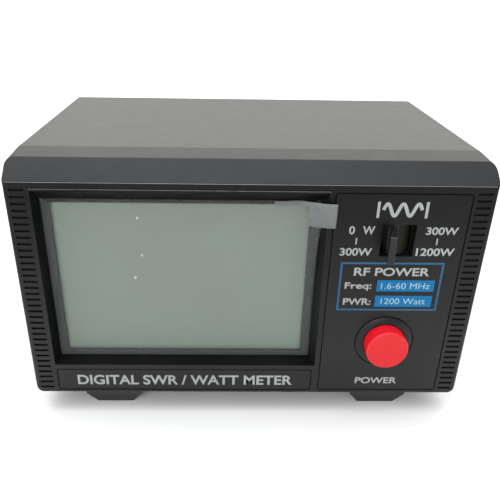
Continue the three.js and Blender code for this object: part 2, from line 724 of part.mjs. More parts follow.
// The flat cable leaves the display board, runs back above the main board and turns down to it.
function ribbonCable() {
  const front = frontBoardY + BOARD_T + GAP;
  const rear = BOARD_Y[0] + RIBBON_BEND;
  const side = filleted([
    [front, RIBBON_Z, 0],
    [rear, RIBBON_Z, RIBBON_BEND],
    [rear, partsZ, 0],
    [rear + RIBBON_T, partsZ, 0],
    [rear + RIBBON_T, RIBBON_Z + RIBBON_T, RIBBON_BEND + RIBBON_T],
    [front, RIBBON_Z + RIBBON_T, 0],
  ]);
  return extrude(side, ...RIBBON_X, "x");
}
add("ribbon_cable", ribbonCable(), finish(0x8f9296, 0.6, 0));

// ---- Coupler and rear sockets -------------------------------------------------------------

const boxZ = [SOCKET_Z - BOX_HALF_Z, SOCKET_Z + BOX_HALF_Z];
const boxX = [-BOX_HALF_X, BOX_HALF_X];
const backWall = [BOX_Y[1] - BOX_T - 1, BOX_Y[1] + 1];

// A tinplate box around the through line, open towards the front.
function couplerBox() {
  const innerX = boxX.map((x) => x - Math.sign(x) * BOX_T);
  const innerZ = [boxZ[0] + BOX_T, boxZ[1] - BOX_T];
  let box = block(boxX, BOX_Y, boxZ).subtract(block(innerX, [0, BOX_Y[1] - BOX_T], innerZ));
  for (const side of [-1, 1]) {
    const centre = [side * SOCKET_X, 0, SOCKET_Z];
    box = box.subtract(rod(BOSS_R + GAP, backWall, "y", centre, SMOOTH));
    for (const [dx, dz] of flangeCorners) {
      const at = [centre[0] + dx, 0, centre[2] + dz];
      box = box.subtract(rod(HOLE_R, backWall, "y", at, HOLE_ROUND));
    }
  }
  return box;
}
add("coupler_box", couplerBox(), STEEL);
add("coupler_lid", block(boxX, [BOX_Y[0] - GAP - BOX_T, BOX_Y[0] - GAP], boxZ), STEEL);
const couplerBoardZ = boxZ[0] + BOX_T + 1.2;
const couplerBoardY = [BOX_Y[0] + 3, BOX_Y[1] - 4.4];
const couplerBoardX = [4 - BOX_HALF_X, BOX_HALF_X - 4];
const couplerBoard = block(couplerBoardX, couplerBoardY, [couplerBoardZ, couplerBoardZ + BOARD_T]);
add("coupler_board", couplerBoard, BOARD_GREEN);
const lineCentre = [0, LINE_Y, SOCKET_Z];
add("through_line", rod(LINE_R, [-SOCKET_X - 2, SOCKET_X + 2], "x", lineCentre), BRASS);
const toroid = tube(LINE_R + 1, TOROID_R, [-TOROID_T / 2, TOROID_T / 2], "x", lineCentre, SMOOTH);
add("current_toroid", toroid, finish(0x3c3f42, 0.7, 0));

// A flanged coaxial socket: shell, insulator and split centre contact, along +Y.
const flangeFront = REAR_Y + GAP;
const INNER_BORE = 5;
const SHELL_BORE = 6.3;
const BORE_STEP = flangeFront + 3; // where the inner bore widens
const BARREL_EDGE = 0.6;
const CONTACT_R = 3.1;
const CONTACT_BORE = 2;
const CONTACT_EDGE = 0.4;
const TAIL_L = 5;

function socketShell(x) {
  const face = roundedRect([x - FLANGE / 2, x + FLANGE / 2, SOCKET_Z - FLANGE / 2, SOCKET_Z + FLANGE / 2], 1);
  const centre = [x, 0, SOCKET_Z];
  const rear = BOX_Y[1] - 3;
  let shell = extrude(face, flangeFront, flangeFront + FLANGE_T, "y");
  shell = shell.add(rod(BOSS_R, [rear, flangeFront + 1], "y", centre, SMOOTH));
  const barrel = [[0, flangeFront + 1], [BARREL_R, flangeFront + 1], [BARREL_R, SOCKET_END - BARREL_EDGE]];
  barrel.push([BARREL_R - BARREL_EDGE, SOCKET_END], [0, SOCKET_END]);
  shell = shell.add(turned(barrel, "y", centre, SMOOTH));
  shell = shell.subtract(rod(INNER_BORE, [rear - 1, SOCKET_END + 1], "y", centre, SMOOTH));
  shell = shell.subtract(rod(SHELL_BORE, [BORE_STEP, SOCKET_END + 1], "y", centre, SMOOTH));
  for (const [dx, dz] of flangeCorners) {
    const at = [x + dx, 0, SOCKET_Z + dz];
    shell = shell.subtract(rod(HOLE_R, [REAR_Y - 1, SOCKET_END], "y", at, HOLE_ROUND));
  }
  return shell;
}

function socketInsulator(x) {
  const bore = CONTACT_R + GAP;
  const rear = BOX_Y[1] - 3.6;
  const step = BORE_STEP + GAP;
  const front = SOCKET_END - 1.2;
  const narrow = INNER_BORE - GAP;
  const profile = [[bore, rear], [narrow, rear], [narrow, step], [SHELL_BORE - GAP, step]];
  profile.push([SHELL_BORE - GAP, front], [bore, front], [bore, rear]);
  return turned(profile, "y", [x, 0, SOCKET_Z], SMOOTH);
}

function socketContact(x) {
  const front = SOCKET_END - 1.4;
  const floor = front - 14;
  const tail = LINE_Y + LINE_R + 2 * GAP;
  const shoulder = tail + TAIL_L;
  const profile = [[0, tail], [LINE_R, tail], [LINE_R, shoulder], [CONTACT_R, shoulder]];
  profile.push([CONTACT_R, front - CONTACT_EDGE], [CONTACT_R - CONTACT_EDGE, front]);
  profile.push([CONTACT_BORE, front], [CONTACT_BORE, floor], [0, floor]);
  return turned(profile, "y", [x, 0, SOCKET_Z]);
}

for (const [name, side] of [["transmitter", -1], ["antenna", 1]]) {
  const x = side * SOCKET_X;
  add(`${name}_socket_shell`, socketShell(x), NICKEL);
  add(`${name}_socket_insulator`, socketInsulator(x), finish(0xe8e4d8, 0.5, 0));
  add(`${name}_socket_contact`, socketContact(x), BRASS);
  flangeCorners.forEach(([dx, dz], i) => {
    const at = [x + dx, flangeFront + FLANGE_T + GAP, SOCKET_Z + dz];
    add(`${name}_socket_screw_${i + 1}`, screw(SOCKET_SCREW, "y", at, -1), STEEL);
  });
}

// ---- Supply jack --------------------------------------------------------------------------

// A barrel jack with its centre pin, held in the rear wall by a hexagonal nut.
function supplyJack() {
  const wall = REAR_Y - SHEET - GAP;
  const mouth = REAR_Y + JACK_OUT;
  const profile = [
    [0, wall - JACK_BODY_L],
    [JACK_BODY_R, wall - JACK_BODY_L],
    [JACK_BODY_R, wall],
    [JACK_R, wall],
    [JACK_R, mouth - 0.4],
    [JACK_R - 0.4, mouth],
    [JACK_BORE_R, mouth],
    [JACK_BORE_R, mouth - JACK_BORE_L],
    [JACK_PIN_R, mouth - JACK_BORE_L],
    [JACK_PIN_R, mouth - 1],
    [0, mouth - 0.6],
  ];
  return turned(profile, "y", JACK_CENTRE, SMOOTH);
}
add("supply_jack", supplyJack(), BLACK_STEEL);
const nutHole = rod(JACK_R + GAP, [REAR_Y, SOCKET_END], "y", JACK_CENTRE);
const nut = rod(NUT_R, [flangeFront, flangeFront + NUT_T], "y", JACK_CENTRE, 6).subtract(nutHole);
add("supply_jack_nut", nut, NICKEL);

export default meter;
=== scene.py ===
"""Looks for the desk SWR meter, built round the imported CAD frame. Metres, except where a note says mm."""

import json
import math

import bmesh
import bpy
from mathutils import Matrix, Vector


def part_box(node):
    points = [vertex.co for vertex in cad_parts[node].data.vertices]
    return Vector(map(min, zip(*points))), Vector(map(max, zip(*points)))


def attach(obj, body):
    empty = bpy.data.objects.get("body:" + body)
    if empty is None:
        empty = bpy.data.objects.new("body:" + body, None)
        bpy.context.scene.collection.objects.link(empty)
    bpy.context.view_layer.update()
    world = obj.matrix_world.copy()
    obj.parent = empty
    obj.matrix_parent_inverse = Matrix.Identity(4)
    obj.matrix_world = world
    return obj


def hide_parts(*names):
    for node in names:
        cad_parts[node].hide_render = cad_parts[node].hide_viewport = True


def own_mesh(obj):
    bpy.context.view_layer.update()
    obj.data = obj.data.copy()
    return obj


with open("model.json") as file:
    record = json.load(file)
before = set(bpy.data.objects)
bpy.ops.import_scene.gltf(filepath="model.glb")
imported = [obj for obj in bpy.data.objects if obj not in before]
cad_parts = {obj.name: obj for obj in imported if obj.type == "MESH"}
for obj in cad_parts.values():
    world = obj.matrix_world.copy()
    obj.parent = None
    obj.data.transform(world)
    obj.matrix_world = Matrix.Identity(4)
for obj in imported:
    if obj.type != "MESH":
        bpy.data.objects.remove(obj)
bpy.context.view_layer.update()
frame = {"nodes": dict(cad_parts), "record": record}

MM = 0.001
SCENE = bpy.context.scene
FACE_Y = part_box("control_panel")[0].y  # the plane of the front face
BASE_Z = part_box("bottom_chassis")[0].z  # the underside of the case
REAR_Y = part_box("bottom_chassis")[1].y  # the outer face of the rear wall


def at(x, y, z):
    """A point from millimetres right of centre, behind the front face and above the case's underside."""
    return Vector((x * MM, FACE_Y + y * MM, BASE_Z + z * MM))


# ---- Camera, light and floor ---------------------------------------------------------------

CAMERA_MM = (-8.15, -166.84, 138.90)
PITCH, YAW, ROLL = (math.radians(a) for a in (26.05, -1.22, 0.978))
LENS = 40.86
SHIFT = (0.0263, 0.0072)


def make_camera():
    """The camera looks down on the front, turned a little right and rolled by about a degree."""
    level = Vector((math.cos(YAW), math.sin(YAW), 0))
    upright = Vector((-math.sin(PITCH) * math.sin(YAW), math.sin(PITCH) * math.cos(YAW), math.cos(PITCH)))
    right = math.cos(ROLL) * level + math.sin(ROLL) * upright
    up = -math.sin(ROLL) * level + math.cos(ROLL) * upright
    back = right.cross(up)
    data = bpy.data.cameras.new("camera")
    data.lens = LENS
    data.sensor_width = 36
    data.shift_x, data.shift_y = SHIFT
    data.clip_start = 0.01
    camera = bpy.data.objects.new("camera", data)
    SCENE.collection.objects.link(camera)
    turn = Matrix((right, up, back)).transposed().to_4x4()
    camera.matrix_world = Matrix.Translation(at(*CAMERA_MM)) @ turn
    SCENE.camera = camera


WORLD_TOP = 1.7
WORLD_STOPS = ((0.0, 1.05), (0.1, 1.0), (0.2, 0.5), (0.55, 0.5), (0.8, WORLD_TOP))  # (height, level)
LIGHTS = (  # name, place, target, size, power, colour
    ("strip", (-0.35, -1.15, 0.56), (0, -0.06, 0.06), (1.1, 0.12), 7.0, (1.0, 1.0, 1.0)),
    ("overhead", (-0.1, -0.05, 1.1), (0, 0, 0.05), (1.0, 0.8), 4.5, (0.92, 0.965, 1.0)),
    ("back", (0.1, 1.25, 0.95), (0, 0, 0.08), (1.8, 0.9), 6.0, (1.0, 0.985, 0.93)),
)


def area_light(name, place, target, size, power, color):
    data = bpy.data.lights.new(name, "AREA")
    data.shape = "RECTANGLE"
    data.size, data.size_y = size
    data.energy = power
    data.color = color
    light = bpy.data.objects.new(name, data)
    SCENE.collection.objects.link(light)
    light.location = place
    light.rotation_euler = (Vector(target) - Vector(place)).to_track_quat("-Z", "Y").to_euler()


def make_studio():
    """A white surround that dips above the horizon and brightens overhead, with three soft panels."""
    world = bpy.data.worlds.new("studio")
    SCENE.world = world
    world.use_nodes = True
    nodes, links = world.node_tree.nodes, world.node_tree.links
    coords = nodes.new("ShaderNodeTexCoord")
    split = nodes.new("ShaderNodeSeparateXYZ")
    ramp = nodes.new("ShaderNodeValToRGB")
    links.new(coords.outputs["Generated"], split.inputs[0])
    links.new(split.outputs["Z"], ramp.inputs[0])
    links.new(ramp.outputs[0], nodes["Background"].inputs["Color"])
    nodes["Background"].inputs["Strength"].default_value = WORLD_TOP
    stops = ramp.color_ramp.elements
    stops[0].position, stops[1].position = WORLD_STOPS[0][0], WORLD_STOPS[-1][0]
    for position, _ in WORLD_STOPS[1:-1]:
        stops.new(position)
    for stop, (_, level) in zip(stops, WORLD_STOPS):
        stop.color = (level / WORLD_TOP, level / WORLD_TOP, level / WORLD_TOP, 1)
    for light in LIGHTS:
        area_light(*light)
    SCENE.view_settings.view_transform = "Standard"


def make_floor():
    mesh = bpy.data.meshes.new("floor")
    size = 30.0
    corners = [(-size, -size, 0), (size, -size, 0), (size, size, 0), (-size, size, 0)]
    mesh.from_pydata(corners, [], [(0, 1, 2, 3)])
    floor = bpy.data.objects.new("floor", mesh)
    SCENE.collection.objects.link(floor)
    material = bpy.data.materials.new("floor")
    material.use_nodes = True
    shader = material.node_tree.nodes["Principled BSDF"]
    shader.inputs["Base Color"].default_value = (0.93, 0.93, 0.93, 1)
    shader.inputs["Roughness"].default_value = 0.9
    shader.inputs["Specular IOR Level"].default_value = 0.1
    mesh.materials.append(material)


make_camera()
make_studio()
make_floor()


# ---- Materials -----------------------------------------------------------------------------

MATERIALS = {}


def noise(tree, coords, scale, detail):
    node = tree.nodes.new("ShaderNodeTexNoise")
    node.inputs["Scale"].default_value = scale
    node.inputs["Detail"].default_value = detail
    tree.links.new(coords, node.inputs["Vector"])
    return node.outputs["Fac"]


def spread(tree, value, low, high):
    """Maps a noise value, which mostly lies between 0.3 and 0.7, to low..high."""
    node = tree.nodes.new("ShaderNodeMapRange")
    node.inputs["From Min"].default_value = 0.3
    node.inputs["From Max"].default_value = 0.7
    node.inputs["To Min"].default_value = low
    node.inputs["To Max"].default_value = high
    tree.links.new(value, node.inputs["Value"])
    return node.outputs[0]


def mixed(tree, factor, dark, light):
    node = tree.nodes.new("ShaderNodeMix")
    node.data_type = "RGBA"
    node.inputs["A"].default_value = (*dark, 1)
    node.inputs["B"].default_value = (*light, 1)
    tree.links.new(factor, node.inputs["Factor"])
    return node.outputs["Result"]


def material(name, dark, light, rough, blotch=60, grain=2500, bump=0.1, height=0.00003, **fixed):
    """A surface whose colour and roughness drift between two values, with a fine grain in its normal."""
    made = bpy.data.materials.new(name)
    made.use_nodes = True
    tree = made.node_tree
    shader = tree.nodes["Principled BSDF"]
    coords = tree.nodes.new("ShaderNodeTexCoord").outputs["Object"]
    drift = spread(tree, noise(tree, coords, blotch, 4), 0, 1)
    tree.links.new(mixed(tree, drift, dark, light), shader.inputs["Base Color"])
    wear = spread(tree, noise(tree, coords, blotch * 3.7, 5), *rough)
    tree.links.new(wear, shader.inputs["Roughness"])
    if bump:
        bumps = tree.nodes.new("ShaderNodeBump")
        bumps.inputs["Strength"].default_value = bump
        bumps.inputs["Distance"].default_value = height
        tree.links.new(noise(tree, coords, grain, 2), bumps.inputs["Height"])
        tree.links.new(bumps.outputs[0], shader.inputs["Normal"])
    for socket, value in fixed.items():
        shader.inputs[socket.replace("_", " ")].default_value = value
    MATERIALS[name] = made
    return tree, shader, coords


GLOSS_FADE = ((0.018, 0.27), (0.078, 0.085))  # (height above the case's underside, specular level)


def fade_gloss(tree, shader, coords):
    """The moulding is matt near its top and glossier towards its lower edge."""
    split = tree.nodes.new("ShaderNodeSeparateXYZ")
    tree.links.new(coords, split.inputs[0])
    level = tree.nodes.new("ShaderNodeMapRange")
    for end, (height, specular) in zip(("Min", "Max"), GLOSS_FADE):
        level.inputs["From " + end].default_value = BASE_Z + height
        level.inputs["To " + end].default_value = specular
    tree.links.new(split.outputs["Z"], level.inputs["Value"])
    tree.links.new(level.outputs[0], shader.inputs["Specular IOR Level"])


METAL = {"Metallic": 1.0}
DULL = {"Specular_IOR_Level": 0.26}
BLACK = {"Specular_IOR_Level": 0.12}
FILM = {"Specular_IOR_Level": 0.2}
MOULDING = ((0.0075, 0.0073, 0.0073), (0.0105, 0.0102, 0.0102))
fade_gloss(*material("bezel_plastic", *MOULDING, (0.32, 0.40), bump=0.2))
# A lighter, bluer copy of the moulding: painted sheen on the brow's upward faces.
material("brow_painted_sheen", (0.0085, 0.009, 0.0105), (0.0115, 0.0125, 0.0145), (0.30, 0.38), bump=0.15, **DULL)
# Near-black painted shade, for the display recess's walls, the left of the lever's drum and the strip over
# the display frame's top.
material("recess_painted_shade", (0.002, 0.002, 0.0022), (0.004, 0.004, 0.0044), (0.45, 0.55), bump=0.1, **BLACK)
fade_gloss(*material("panel_plastic", *MOULDING, (0.30, 0.38), bump=0.1))
material("display_frame", (0.022, 0.025, 0.026), (0.025, 0.028, 0.029), (0.45, 0.55), bump=0, **BLACK)
material("display_glass", (0.152, 0.168, 0.146), (0.142, 0.196, 0.160), (0.16, 0.24),
         blotch=14, bump=0, **FILM)
material("light_guide", (0.74, 0.77, 0.72), (0.82, 0.84, 0.8), (0.3, 0.4))
material("board", (0.02, 0.12, 0.045), (0.035, 0.17, 0.07), (0.3, 0.4))
material("case_paint", (0.074, 0.074, 0.069), (0.078, 0.078, 0.073), (0.42, 0.46), grain=1600, bump=0.12)
# A much lighter copy of the moulding: painted sheen on the bezel's flat top.
material("bezel_top_painted_sheen", (0.046, 0.048, 0.045), (0.050, 0.052, 0.049), (0.40, 0.46), bump=0.1, **DULL)
# Light, glossy plastic: a painted highlight on the ridge under the brow and on the recess's top rim.
material("ridge_painted_highlight", (0.16, 0.17, 0.18), (0.20, 0.21, 0.22), (0.24, 0.30), bump=0.1)
material("lever_plastic", (0.009, 0.009, 0.0085), (0.013, 0.013, 0.012), (0.28, 0.36), bump=0.1, **DULL)
# Lighter, glossier plastic: a painted highlight on the lever blade's bevelled edges.
material("blade_edge_painted_highlight", (0.035, 0.035, 0.033), (0.05, 0.05, 0.047), (0.25, 0.32), bump=0)
material("drum_olive", (0.009, 0.009, 0.006), (0.012, 0.012, 0.008), (0.5, 0.6), bump=0.1, **BLACK)
material("switch_plastic", (0.008, 0.008, 0.007), (0.012, 0.012, 0.010), (0.5, 0.6), **DULL)
material("steel", (0.52, 0.52, 0.51), (0.60, 0.60, 0.58), (0.24, 0.38), grain=900, **METAL)
material("red_plastic", (0.82, 0.007, 0.022), (0.88, 0.010, 0.026), (0.32, 0.40), bump=0.12)
# A darker copy of the red: painted shade on the button's front face.
material("red_face_painted_shade", (0.53, 0.010, 0.014), (0.58, 0.014, 0.018), (0.40, 0.48), bump=0.12, **DULL)
material("white_nylon", (0.72, 0.70, 0.63), (0.80, 0.78, 0.72), (0.45, 0.6))
material("chip_plastic", (0.015, 0.015, 0.016), (0.022, 0.022, 0.023), (0.5, 0.6))
material("capacitor_sleeve", (0.012, 0.016, 0.03), (0.02, 0.025, 0.045), (0.25, 0.35))
material("ribbon_plastic", (0.25, 0.26, 0.28), (0.31, 0.32, 0.34), (0.45, 0.55))
material("tinplate", (0.55, 0.55, 0.53), (0.64, 0.64, 0.62), (0.3, 0.45), grain=700, **METAL)
material("brass", (0.68, 0.47, 0.17), (0.78, 0.58, 0.26), (0.2, 0.32), grain=900, **METAL)
material("ferrite", (0.045, 0.045, 0.05), (0.065, 0.065, 0.07), (0.6, 0.7))
material("jack_plastic", (0.018, 0.018, 0.018), (0.026, 0.026, 0.026), (0.4, 0.5))
material("nickel", (0.60, 0.585, 0.55), (0.70, 0.685, 0.65), (0.16, 0.28), grain=900, bump=0.15, **METAL)
material("black_screw", (0.03, 0.03, 0.03), (0.05, 0.05, 0.05), (0.3, 0.42), **METAL)
material("foot_rubber", (0.014, 0.014, 0.014), (0.020, 0.020, 0.020), (0.55, 0.68), bump=0.4, grain=1800)
material("socket_insulator", (0.74, 0.71, 0.63), (0.82, 0.79, 0.72), (0.4, 0.5))
material("print_white", (0.25, 0.265, 0.255), (0.30, 0.315, 0.305), (0.45, 0.55), bump=0)
material("print_light_blue", (0.020, 0.084, 0.16), (0.026, 0.096, 0.18), (0.4, 0.5), bump=0, **BLACK)
material("print_blue", (0.004, 0.112, 0.27), (0.006, 0.128, 0.30), (0.4, 0.5), bump=0, **BLACK)
material("print_pale", (0.22, 0.35, 0.44), (0.27, 0.40, 0.49), (0.45, 0.55), bump=0)
material("clear_film", (0.50, 0.55, 0.52), (0.58, 0.62, 0.60), (0.18, 0.26),
         blotch=30, bump=0, Alpha=0.035, **FILM)
material("tab_film", (0.125, 0.136, 0.134), (0.155, 0.166, 0.164), (0.25, 0.35),
         blotch=90, bump=0, Alpha=0.86, **DULL)
material("film_edge", (0.40, 0.42, 0.41), (0.48, 0.50, 0.49), (0.25, 0.35), bump=0)
material("dust", (0.30, 0.33, 0.31), (0.38, 0.4, 0.38), (0.6, 0.8), bump=0)

SLOTS = {s["node"]: s["material_slot"] for s in frame["record"]["subparts"]}
BODIES = {n: b for b, members in frame["record"]["behaviour"]["bodies"].items() for n in members}


def paint(obj, name):
    obj.data.materials.clear()
    obj.data.materials.append(MATERIALS[name])
    return obj


def dress_frame():
    """Every CAD node starts with its slot's material, whether or not a finer piece replaces it later."""
    for name, node in frame["nodes"].items():
        paint(node, SLOTS[name])


dress_frame()


# ---- Mesh helpers --------------------------------------------------------------------------

def link(name, mesh):
    obj = bpy.data.objects.new(name, mesh)
    SCENE.collection.objects.link(obj)
    return obj


def place(obj, node, look=None):
    """Rides obj on its CAD node's body, gives it the node's slot, and hides the node."""
    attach(obj, BODIES[node])
    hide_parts(node)
    return paint(obj, look or SLOTS[node])


def smooth(mesh, degrees=35):
    mesh.shade_smooth()
    mesh.set_sharp_from_angle(angle=math.radians(degrees))


WELD = 2e-6  # points nearer than this are one
FLAT = 0.6  # degrees between faces that count as one flat face


def refined(node, bevel, segments=2, angle=32):
    """The CAD node's own shape with its flat faces joined and its edges rounded by bevel metres."""
    bm = bmesh.new()
    bm.from_mesh(frame["nodes"][node].data)
    bmesh.ops.remove_doubles(bm, verts=bm.verts, dist=WELD)
    bmesh.ops.dissolve_limit(bm, angle_limit=math.radians(FLAT), verts=bm.verts, edges=bm.edges)
    points = [v.co.copy() for v in bm.verts]
    bm.verts.index_update()
    faces = [[v.index for v in f.verts] for f in bm.faces]
    bm.free()
    mesh = bpy.data.meshes.new(node + "_finished")
    mesh.from_pydata(points, [], faces)
    smooth(mesh, angle)
    obj = link(node + "_finished", mesh)
    if bevel:
        modifier = obj.modifiers.new("rounded", "BEVEL")
        modifier.width = bevel
        modifier.segments = segments
        modifier.limit_method = "ANGLE"
        modifier.angle_limit = math.radians(angle)
        modifier.harden_normals = True
        modifier.use_clamp_overlap = True
    return place(obj, node)


NOTCH_RIM = 0.0003  # how close to the end a ring has to be to be notched
NOTCH_DEPTH = 0.0009


def spun(name, profile, centre, sides=64, closed=True, notches=0):
    """A surface turned from (radius, height) pairs in mm about an axis along Y through centre.

    Closed joins the last ring to the first. With notches, the end rings are cut down in that many places."""
    mesh = bpy.data.meshes.new(name)
    turn = Matrix.Rotation(-math.pi / 2, 4, "X")  # the profile's height runs along +Y
    bm = bmesh.new()
    rings = []
    for radius, height in profile:
        if radius == 0:
            rings.append([bm.verts.new((0, 0, height * MM))])
            continue
        ring = []
        for i in range(sides):
            a = 2 * math.pi * i / sides
            ring.append(bm.verts.new((radius * MM * math.cos(a), radius * MM * math.sin(a), height * MM)))
        rings.append(ring)
    pairs = list(zip(rings, rings[1:]))
    if closed and profile[0][0] != 0:
        pairs.append((rings[-1], rings[0]))
    for low, high in pairs:
        for i in range(sides):
            j = (i + 1) % sides
            corners = [low[i % len(low)], low[j % len(low)], high[j % len(high)], high[i % len(high)]]
            unique = list(dict.fromkeys(corners))
            if len(unique) > 2:
                bm.faces.new(unique)
    end = max(height for _, height in profile) * MM
    for ring in rings:
        for i, v in enumerate(ring):
            if notches and v.co.z > end - NOTCH_RIM and (i * notches * 4 // sides) % 4 == 0:
                v.co.z -= NOTCH_DEPTH
    bmesh.ops.recalc_face_normals(bm, faces=bm.faces)
    bm.transform(Matrix.Translation(centre) @ turn)
    bm.to_mesh(mesh)
    bm.free()
    smooth(mesh)
    return link(name, mesh)


def arc(centre, radius, start, end, steps=6):
    """Points on an arc in the (radius, height) plane, angles in degrees."""
    out = []
    for i in range(steps + 1):
        a = math.radians(start + (end - start) * i / steps)
        out.append((centre[0] + radius * math.cos(a), centre[1] + radius * math.sin(a)))
    return out


# ---- Case, bezel and feet ------------------------------------------------------------------

RECESS_DEPTH = 4.28  # millimetres from the face to the front of the display frame
RIDGE_DEPTH = 0.0012  # how far behind the face the ridge with the painted highlight reaches
RIM_MARGIN = 0.0035  # how far past the display frame the recess's rim reaches
BROW_RISE = 0.004  # least height of the brow above the display frame


def dress_bezel(bezel):
    """The display recess is painted black as painted shade, apart from its right wall.

    The rim's top edge and the ridge under the brow get a painted highlight; the brow's upward faces and the
    flat top get lighter copies of the moulding as painted sheen."""
    for look in ("recess_painted_shade", "bezel_top_painted_sheen", "ridge_painted_highlight", "brow_painted_sheen"):
        bezel.data.materials.append(MATERIALS[look])
    painted_shade_slot, top_sheen_slot, highlight_slot, brow = range(1, 5)
    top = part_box("front_bezel")[1].z
    low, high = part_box("lcd_frame")
    for face in bezel.data.polygons:
        c, n = face.center, face.normal
        across = low.x - RIM_MARGIN < c.x < high.x + RIM_MARGIN
        beside = across and low.z - RIM_MARGIN < c.z < high.z + RIM_MARGIN + 0.002
        inside = FACE_Y + 0.0003 < c.y < low.y + 0.001
        # The recess's walls, all but the right one, get painted shade.
        if beside and inside and n.x > -0.5 and abs(n.y) < 0.8:
            face.material_index = painted_shade_slot
        # The rim's upward faces get the painted highlight.
        if beside and c.y < FACE_Y and n.z > 0.3:
            face.material_index = highlight_slot
        # The brow's upward faces get the lighter, bluer painted sheen.
        if c.z > high.z + BROW_RISE and n.z > 0.5:
            face.material_index = brow
        # The flat top gets the lighter painted sheen.
        if c.z > top - 0.0005 and n.z > 0.97:
            face.material_index = top_sheen_slot
        # The ridge's upward-tilted faces get the painted highlight.
        on_ridge = c.y < FACE_Y + RIDGE_DEPTH and c.z > high.z
        if on_ridge and 0.15 < n.z < 0.5 and abs(n.x) < 0.2:
            face.material_index = highlight_slot


dress_bezel(refined("front_bezel", 0.00014, 2))
refined("control_panel", 0.00012, 2)
refined("title_strip", 0.00012, 2)
refined("lcd_frame", 0.0002, 2)
refined("top_cover", 0.00018, 3, angle=40)
refined("bottom_chassis", 0.00015, 2, angle=40)


DRUM_START = 0.0006  # how far behind the face the lever's blade gives way to its drum


def dress_lever(lever):
    """The blade's edges get a lighter, glossier material as a painted highlight. The drum behind it is
    painted black on its left as painted shade, and olive on its right.
    """
    for look in ("blade_edge_painted_highlight", "drum_olive", "recess_painted_shade"):
        lever.data.materials.append(MATERIALS[look])
    edge_highlight_slot, olive, painted_shade_slot = range(1, 4)
    # The bevels get the painted highlight.
    lever.modifiers["rounded"].material = edge_highlight_slot
    low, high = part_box("range_lever")
    divide = (low.x + high.x) / 2 - 0.001
    # Faces behind the blade: the drum's left half gets painted shade, its right half olive.
    for face in lever.data.polygons:
        if face.center.y > FACE_Y + DRUM_START:
            face.material_index = painted_shade_slot if face.center.x < divide else olive


dress_lever(refined("range_lever", 0.0002, 2, angle=30))
refined("supply_jack_nut", 0.00025, 2)
for end in ("front", "rear"):
    for side in ("left", "right"):
        refined(f"foot_{end}_{side}", 0.0007, 4, angle=20)


def middle(node):
    """The centre of a node's box."""
    low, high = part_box(node)
    return (low + high) / 2


# ---- Power button --------------------------------------------------------------------------

def power_button():
    """A cap with a slightly dished face, a rounded rim, and a hollow back with a boss for the plunger."""
    low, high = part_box("power_button_cap")
    radius = (high.x - low.x) / 2 / MM
    length = (high.y - low.y) / MM
    rim, wall, dish = 0.75, 1.6, 0.18
    boss, bore, boss_end = 3.6, 2.3, 6.9
    profile = [(0, dish), (radius * 0.55, dish * 0.65), (radius - rim - 0.35, 0.02)]
    profile += arc((radius - rim, rim), rim, 270, 360, 8)
    profile += [(radius, length), (radius - wall, length), (radius - wall, wall)]
    profile += [(boss, wall), (boss, boss_end), (bore, boss_end), (bore, wall), (0, wall)]
    centre = Vector(((low.x + high.x) / 2, low.y, (low.z + high.z) / 2))
    cap = place(spun("power_button_finished", profile, centre, 96, closed=False), "power_button_cap")
    # The front face gets the darker red as painted shade.
    cap.data.materials.append(MATERIALS["red_face_painted_shade"])
    for face in cap.data.polygons:
        if face.normal.y < -0.8:
            face.material_index = 1


def return_spring():
    """The return spring, with its own copy of the CAD node's mesh. The real spring shortens against the
    switch as the cap is pressed.
    """
    spring = refined("button_spring", 0, angle=60)
    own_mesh(spring)


power_button()
return_spring()


# ---- Screws --------------------------------------------------------------------------------

def screw_mesh(head_radius, head_height):
    """A pan-head screw facing -Y with a cross recess; its seat is at y = 0."""
    crown = [(0, -head_height)]
    crown += [(head_radius * math.sin(a), -head_height * (0.35 + 0.65 * math.cos(a)))
              for a in (math.radians(d) for d in (25, 45, 65, 82))]
    profile = crown + [(head_radius, -0.1), (head_radius * 0.97, 0), (0, 0)]
    head = spun("screw_head", profile, Vector((0, 0, 0)), 40, closed=False)
    arm, width, depth = head_radius * 0.62, head_radius * 0.15, head_height * 0.62
    bm = bmesh.new()
    for half_x, half_z in ((arm, width), (width, arm)):
        size = Matrix.Diagonal((2 * half_x * MM, 2 * depth * MM, 2 * half_z * MM, 1))
        bmesh.ops.create_cube(bm, size=1, matrix=Matrix.Translation((0, -head_height * MM, 0)) @ size)
    cutter_mesh = bpy.data.meshes.new("screw_recess")
    bm.to_mesh(cutter_mesh)
    bm.free()
    cutter = link("screw_recess", cutter_mesh)
    cut = head.modifiers.new("recess", "BOOLEAN")
    cut.object = cutter
    cut.use_self = True
    graph = bpy.context.evaluated_depsgraph_get()
    mesh = bpy.data.meshes.new_from_object(head.evaluated_get(graph))
    bpy.data.objects.remove(head)
    bpy.data.objects.remove(cutter)
    smooth(mesh, 30)
    return mesh


HEAD_R, HEAD_T = 2.8, 1.6  # a screw head's radius and height in mm
SPIN = 37  # degrees that each screw's recess is turned from the last one's


